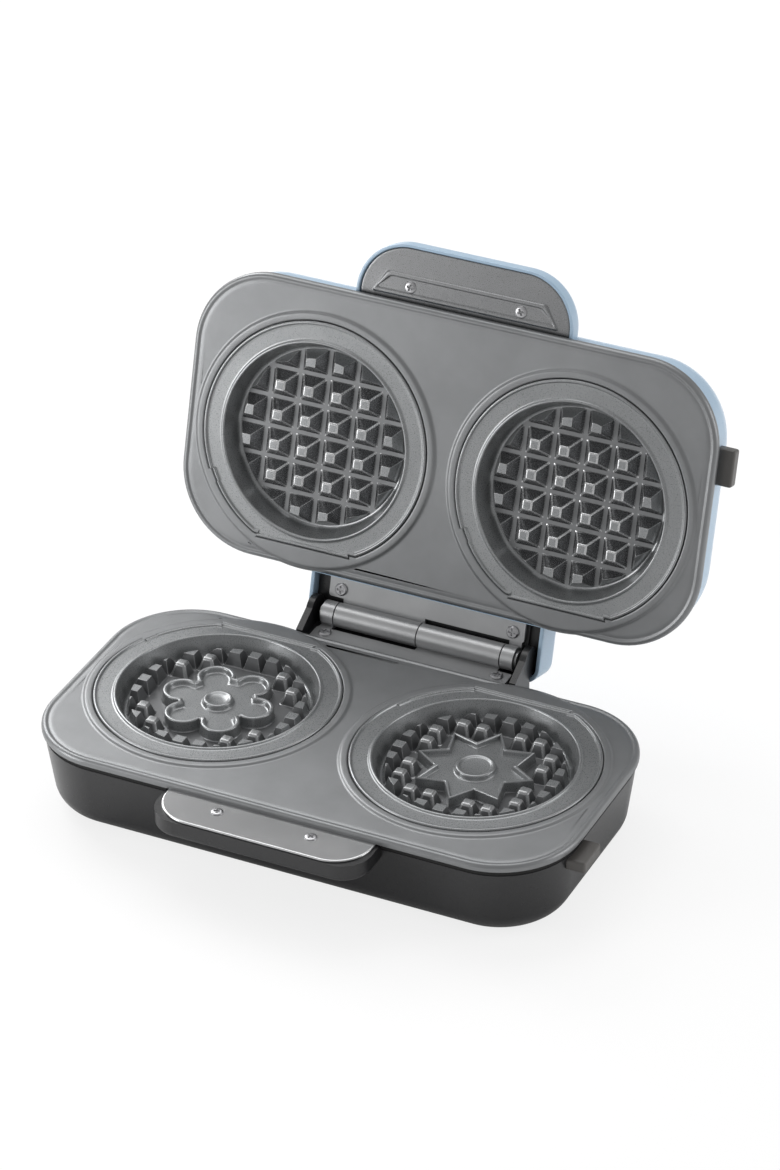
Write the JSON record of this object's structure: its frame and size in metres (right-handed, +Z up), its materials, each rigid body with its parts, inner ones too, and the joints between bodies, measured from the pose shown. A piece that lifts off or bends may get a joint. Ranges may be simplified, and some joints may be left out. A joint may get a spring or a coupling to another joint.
{
  "type": "waffle maker",
  "caption": "Countertop waffle maker for small round waffles: keyed lift-out plates in base and lid, a knuckle hinge with a stop, front handles, and side buttons that free the plates.",
  "frame": {"origin": "centre of the bottom of the open waffle maker's bounding box", "axes": "+Z up, +X to the right along the hinge, with the release buttons, -Y to the front, with the handles"},
  "size_m": [0.2936, 0.269, 0.2383],
  "materials": {
    "black_moulding": "semi-gloss black moulding",
    "blue_shell": "light steel blue, satin gloss",
    "pewter_coating": "pewter non-stick coating, fine satin grain",
    "plate_coating": "pewter non-stick coating on cast aluminium",
    "brushed_cover": "brushed along X",
    "hinge_steel": "satin steel, barrels brighter",
    "screw_steel": "plain steel",
    "element_sheath": "dark heat-tinted sheath",
    "reflector_sheet": "bright rolled sheet",
    "spring_steel": "spring steel",
    "grey_button": "dark warm grey moulding",
    "control_body": "brown phenolic",
    "foot_rubber": "matt black rubber",
    "red_lens": "clear red",
    "green_lens": "clear green",
    "board_laminate": "green laminate",
    "wire_cover": "white glass-braid sleeve"
  },
  "bodies": {
    "base": {"base_housing": "black_moulding", "base_terminal_block": "black_moulding", "base_deck": "pewter_coating", "base_handle_cover": "brushed_cover", "base_hinge_leaf": "hinge_steel", "hinge_pin": "hinge_steel", "base_handle_screws": "screw_steel", "base_hinge_screws": "screw_steel", "base_case_screws": "screw_steel", "base_heater": "element_sheath", "base_reflector": "reflector_sheet", "base_release_spring": "spring_steel", "base_thermostat": "control_body", "thermal_fuse": "control_body", "foot_front_left": "foot_rubber", "foot_front_right": "foot_rubber", "foot_back_left": "foot_rubber", "foot_back_right": "foot_rubber", "cord_bush": "foot_rubber", "base_wiring": "wire_cover"},
    "lid": {"lid_tail_liner": "black_moulding", "lid_housing": "blue_shell", "lid_deck": "pewter_coating", "lid_handle_cover": "brushed_cover", "lid_hinge_leaf": "hinge_steel", "lid_handle_screws": "screw_steel", "lid_hinge_screws": "screw_steel", "lid_heater": "element_sheath", "lid_reflector": "reflector_sheet", "lid_release_spring": "spring_steel", "lid_thermostat": "control_body", "power_lens": "red_lens", "ready_lens": "green_lens", "light_board": "board_laminate", "lid_wiring": "wire_cover"},
    "base_plate_left": {"base_plate_left": "plate_coating"},
    "lid_plate_left": {"lid_plate_left": "plate_coating"},
    "base_plate_right": {"base_plate_right": "plate_coating"},
    "lid_plate_right": {"lid_plate_right": "plate_coating"},
    "base_release": {"base_release_button": "grey_button", "base_release_bar": "spring_steel", "base_catch_left": "spring_steel", "base_catch_right": "spring_steel"},
    "lid_release": {"lid_release_button": "grey_button", "lid_release_bar": "spring_steel", "lid_catch_left": "spring_steel", "lid_catch_right": "spring_steel"}
  },
  "joints": [
    {"name": "lid_hinge", "type": "hinge", "parent": "base", "child": "lid", "pos_m": [-0.0044, 0.05502, 0.0492], "axis": [-1, 0, 0], "range_deg": [-106, 0]},
    {"name": "base_plate_left_lift", "type": "slide", "parent": "base", "child": "base_plate_left", "axis": [0, 0, 1], "range_m": [0, 0.025], "deforming": ["base_catch_left"]},
    {"name": "base_plate_right_lift", "type": "slide", "parent": "base", "child": "base_plate_right", "axis": [0, 0, 1], "range_m": [0, 0.025], "deforming": ["base_catch_right"]},
    {"name": "base_release_press", "type": "slide", "parent": "base", "child": "base_release", "axis": [-1, 0, 0], "range_m": [0, 0.004], "stiffness_N_per_m": 500, "springref_m": -0.002, "deforming": ["base_release_spring"]},
    {"name": "lid_plate_left_lift", "type": "slide", "parent": "lid", "child": "lid_plate_left", "axis": [0, -0.9613, 0.2756], "range_m": [0, 0.025], "deforming": ["lid_catch_left"]},
    {"name": "lid_plate_right_lift", "type": "slide", "parent": "lid", "child": "lid_plate_right", "axis": [0, -0.9613, 0.2756], "range_m": [0, 0.025], "deforming": ["lid_catch_right"]},
    {"name": "lid_release_press", "type": "slide", "parent": "lid", "child": "lid_release", "axis": [-1, 0, 0], "range_m": [0, 0.004], "stiffness_N_per_m": 500, "springref_m": -0.002, "deforming": ["lid_release_spring"]}
  ]
}
